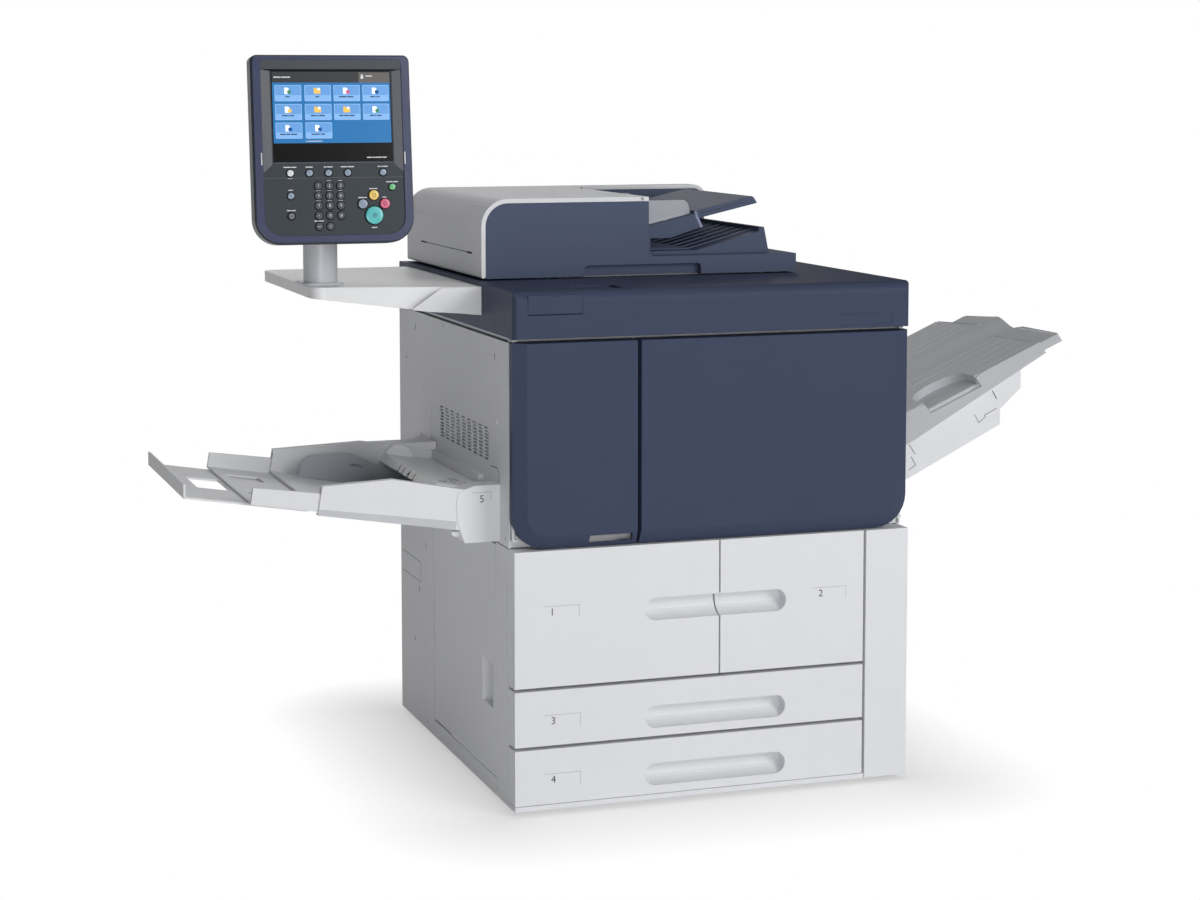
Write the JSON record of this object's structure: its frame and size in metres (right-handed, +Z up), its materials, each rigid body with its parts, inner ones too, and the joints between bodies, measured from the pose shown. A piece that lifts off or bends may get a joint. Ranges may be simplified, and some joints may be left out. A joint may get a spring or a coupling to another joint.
{
  "type": "digital production printer",
  "caption": "Floor-standing print machine with paper drawers, front doors, document feeder, tilting touch console, bypass tray and catch tray.",
  "frame": {"origin": "on the floor, midway between the tips of the two side trays and midway from front to back", "axes": "+X to the right as seen from the front, +Y to the back, +Z up; the front faces -Y"},
  "size_m": [1.7261, 0.79, 1.3305],
  "materials": {
    "white_cover": "fine-grained moulded cover",
    "navy_cover": "fine-grained slate blue cover",
    "steel_frame": "zinc-coated sheet",
    "caster_tread": "matt tread",
    "foot_steel": "zinc-plated",
    "bin_grey": "smooth grey moulding",
    "lift_steel": "plain sheet",
    "dark_plastic": "matt dark moulding",
    "toner_black": "matt black bottle with a grey key",
    "transport_grey": "grey moulding",
    "lever_green": "green moulding",
    "clear_glass": "clear float glass",
    "roller_rubber": "ground rubber",
    "pad_white": "white film on foam",
    "post_silver": "satin silver paint",
    "console_dark": "dark face in a glossy indigo rim",
    "screen": "lit touch screen with plain tiles",
    "key_teal": "translucent teal",
    "key_pink": "translucent pink red",
    "key_yellow": "translucent yellow",
    "key_green": "translucent green",
    "key_grey": "grey silicone keys",
    "guide_grey": "grey moulding",
    "catch_grey": "fine-grained grey tray"
  },
  "bodies": {
    "cabinet": {"lower_frame": "steel_frame", "upper_frame": "steel_frame", "leveling_feet": "foot_steel", "base_cover": "white_cover", "left_rear_panel": "white_cover", "left_upper_panel": "white_cover", "right_lower_cover": "white_cover", "right_upper_panel": "white_cover", "rear_cover": "white_cover", "front_bezel": "white_cover", "transport_drawer": "transport_grey", "scanner_housing": "navy_cover", "platen_glass": "clear_glass", "console_shelf": "white_cover", "console_post": "post_silver", "bypass_tray": "white_cover", "bypass_feed_head": "white_cover", "catch_bracket": "white_cover", "catch_tray": "catch_grey"},
    "caster_1": {"caster_wheel_1": "caster_tread"},
    "caster_2": {"caster_wheel_2": "caster_tread"},
    "caster_3": {"caster_wheel_3": "caster_tread"},
    "caster_4": {"caster_wheel_4": "caster_tread"},
    "drawer_1": {"drawer_1_front": "white_cover", "drawer_1_bin": "bin_grey"},
    "drawer_2": {"drawer_2_front": "white_cover", "drawer_2_bin": "bin_grey"},
    "drawer_3": {"drawer_3_front": "white_cover", "drawer_3_bin": "bin_grey"},
    "drawer_4": {"drawer_4_front": "white_cover", "drawer_4_bin": "bin_grey"},
    "lift_1": {"lift_plate_1": "lift_steel"},
    "lift_2": {"lift_plate_2": "lift_steel"},
    "side_door": {"left_lower_door": "white_cover"},
    "left_door": {"front_door_left": "navy_cover"},
    "right_door": {"front_door_right": "navy_cover"},
    "flap": {"usb_flap": "navy_cover"},
    "toner": {"toner_cartridge": "toner_black"},
    "lever": {"transport_lever": "lever_green"},
    "carriage": {"scan_carriage": "dark_plastic"},
    "feeder": {"feeder_base": "navy_cover", "platen_pad": "pad_white"},
    "top_cover": {"feeder_cover": "white_cover"},
    "document_tray": {"feeder_tray": "navy_cover"},
    "document_guide_front": {"feeder_guide_front": "guide_grey"},
    "document_guide_rear": {"feeder_guide_rear": "guide_grey"},
    "pickup_roller": {"feeder_roller": "roller_rubber"},
    "neck": {"console_neck": "post_silver"},
    "console": {"console_housing": "console_dark", "touch_screen": "screen"},
    "start": {"start_button": "key_teal"},
    "stop": {"stop_button": "key_pink"},
    "clear": {"clear_button": "key_yellow"},
    "power": {"power_button": "key_green"},
    "keys": {"key_mat": "key_grey"},
    "paper_guide_front": {"bypass_guide_front": "guide_grey"},
    "paper_guide_rear": {"bypass_guide_rear": "guide_grey"},
    "inner_extension": {"bypass_extension_inner": "white_cover"},
    "outer_extension": {"bypass_extension_outer": "white_cover"},
    "exit_extension": {"catch_extension": "catch_grey"}
  },
  "joints": [
    {"name": "caster_1_roll", "type": "hinge", "parent": "cabinet", "child": "caster_1", "pos_m": [-0.2175, -0.25, 0.025], "axis": [1, 0, 0], "continuous": true},
    {"name": "caster_2_roll", "type": "hinge", "parent": "cabinet", "child": "caster_2", "pos_m": [0.3735, -0.25, 0.025], "axis": [1, 0, 0], "continuous": true},
    {"name": "caster_3_roll", "type": "hinge", "parent": "cabinet", "child": "caster_3", "pos_m": [-0.2175, 0.307, 0.025], "axis": [1, 0, 0], "continuous": true},
    {"name": "caster_4_roll", "type": "hinge", "parent": "cabinet", "child": "caster_4", "pos_m": [0.3735, 0.307, 0.025], "axis": [1, 0, 0], "continuous": true},
    {"name": "drawer_1_slide", "type": "slide", "parent": "cabinet", "child": "drawer_1", "axis": [0, -1, 0], "range_m": [0, 0.4]},
    {"name": "drawer_2_slide", "type": "slide", "parent": "cabinet", "child": "drawer_2", "axis": [0, -1, 0], "range_m": [0, 0.4]},
    {"name": "drawer_3_slide", "type": "slide", "parent": "cabinet", "child": "drawer_3", "axis": [0, -1, 0], "range_m": [0, 0.4]},
    {"name": "drawer_4_slide", "type": "slide", "parent": "cabinet", "child": "drawer_4", "axis": [0, -1, 0], "range_m": [0, 0.4]},
    {"name": "lift_1_rise", "type": "slide", "parent": "drawer_1", "child": "lift_1", "axis": [0, 0, 1], "range_m": [0, 0.15]},
    {"name": "lift_2_rise", "type": "slide", "parent": "drawer_2", "child": "lift_2", "axis": [0, 0, 1], "range_m": [0, 0.15]},
    {"name": "side_door_hinge", "type": "hinge", "parent": "cabinet", "child": "side_door", "pos_m": [-0.3065, 0.1365, 0.0465], "axis": [0, 0, -1], "range_deg": [0, 100]},
    {"name": "left_door_hinge", "type": "hinge", "parent": "cabinet", "child": "left_door", "pos_m": [-0.3055, -0.368, 0.4725], "axis": [0, 0, -1], "range_deg": [0, 95]},
    {"name": "right_door_hinge", "type": "hinge", "parent": "cabinet", "child": "right_door", "pos_m": [0.4355, -0.368, 0.4725], "axis": [0, 0, 1], "range_deg": [0, 95]},
    {"name": "flap_hinge", "type": "hinge", "parent": "cabinet", "child": "flap", "pos_m": [-0.286, -0.3925, 0.8852], "axis": [1, 0, 0], "range_deg": [0, 90]},
    {"name": "toner_turn", "type": "hinge", "parent": "cabinet", "child": "toner", "pos_m": [-0.205, -0.354, 0.7375], "axis": [0, 1, 0], "range_deg": [0, 90]},
    {"name": "lever_turn", "type": "hinge", "parent": "cabinet", "child": "lever", "pos_m": [0.035, -0.354, 0.6025], "axis": [0, 1, 0], "range_deg": [0, 80]},
    {"name": "carriage_slide", "type": "slide", "parent": "cabinet", "child": "carriage", "axis": [1, 0, 0], "range_m": [0, 0.44]},
    {"name": "feeder_hinge", "type": "hinge", "parent": "cabinet", "child": "feeder", "pos_m": [0, 0.377, 0.94], "axis": [-1, 0, 0], "range_deg": [0, 60]},
    {"name": "top_cover_hinge", "type": "hinge", "parent": "feeder", "child": "top_cover", "pos_m": [-0.292, 0, 0.932], "axis": [0, -1, 0], "range_deg": [0, 70]},
    {"name": "document_tray_hinge", "type": "hinge", "parent": "feeder", "child": "document_tray", "pos_m": [0.041, 0, 1.0075], "axis": [0, -1, 0], "range_deg": [0, 30]},
    {"name": "document_guide_front_slide", "type": "slide", "parent": "document_tray", "child": "document_guide_front", "axis": [0, 1, 0], "range_m": [0, 0.09]},
    {"name": "document_guide_rear_slide", "type": "slide", "parent": "document_tray", "child": "document_guide_rear", "axis": [0, 1, 0], "range_m": [-0.09, 0]},
    {"name": "pickup_roller_turn", "type": "hinge", "parent": "feeder", "child": "pickup_roller", "pos_m": [-0.007, 0, 1.019], "axis": [0, 1, 0], "continuous": true},
    {"name": "console_swivel", "type": "hinge", "parent": "cabinet", "child": "neck", "pos_m": [-0.571, -0.045, 1.042], "axis": [0, 0, 1], "range_deg": [-25, 25]},
    {"name": "console_tilt", "type": "hinge", "parent": "neck", "child": "console", "pos_m": [-0.571, -0.12484, 1.0847], "axis": [-1, 0, 0], "range_deg": [-8, 30]},
    {"name": "start_press", "type": "slide", "parent": "console", "child": "start", "axis": [0, 0.9945, -0.1045], "range_m": [0, 0.0015], "stiffness_N_per_m": 400, "springref_m": -0.001},
    {"name": "stop_press", "type": "slide", "parent": "console", "child": "stop", "axis": [0, 0.9945, -0.1045], "range_m": [0, 0.0015], "stiffness_N_per_m": 400, "springref_m": -0.001},
    {"name": "clear_press", "type": "slide", "parent": "console", "child": "clear", "axis": [0, 0.9945, -0.1045], "range_m": [0, 0.0015], "stiffness_N_per_m": 400, "springref_m": -0.001},
    {"name": "power_press", "type": "slide", "parent": "console", "child": "power", "axis": [0, 0.9945, -0.1045], "range_m": [0, 0.0015], "stiffness_N_per_m": 400, "springref_m": -0.001},
    {"name": "keys_press", "type": "slide", "parent": "console", "child": "keys", "axis": [0, 0.9945, -0.1045], "range_m": [0, 0.001], "stiffness_N_per_m": 800, "springref_m": -0.001},
    {"name": "paper_guide_front_slide", "type": "slide", "parent": "cabinet", "child": "paper_guide_front", "axis": [0, 1, 0], "range_m": [0, 0.095]},
    {"name": "paper_guide_rear_slide", "type": "slide", "parent": "cabinet", "child": "paper_guide_rear", "axis": [0, 1, 0], "range_m": [-0.095, 0]},
    {"name": "inner_extension_slide", "type": "slide", "parent": "cabinet", "child": "inner_extension", "axis": [0.9871, 0, -0.1599], "range_m": [0, 0.105]},
    {"name": "outer_extension_slide", "type": "slide", "parent": "inner_extension", "child": "outer_extension", "axis": [0.9871, 0, -0.1599], "range_m": [0, 0.1]},
    {"name": "exit_extension_slide", "type": "slide", "parent": "cabinet", "child": "exit_extension", "axis": [0.9157, 0, 0.4019], "range_m": [-0.02, 0.08]}
  ],
  "couplings": [
    {"joint": "document_guide_rear_slide", "follows": "document_guide_front_slide", "ratio": -1},
    {"joint": "paper_guide_rear_slide", "follows": "paper_guide_front_slide", "ratio": -1}
  ]
}
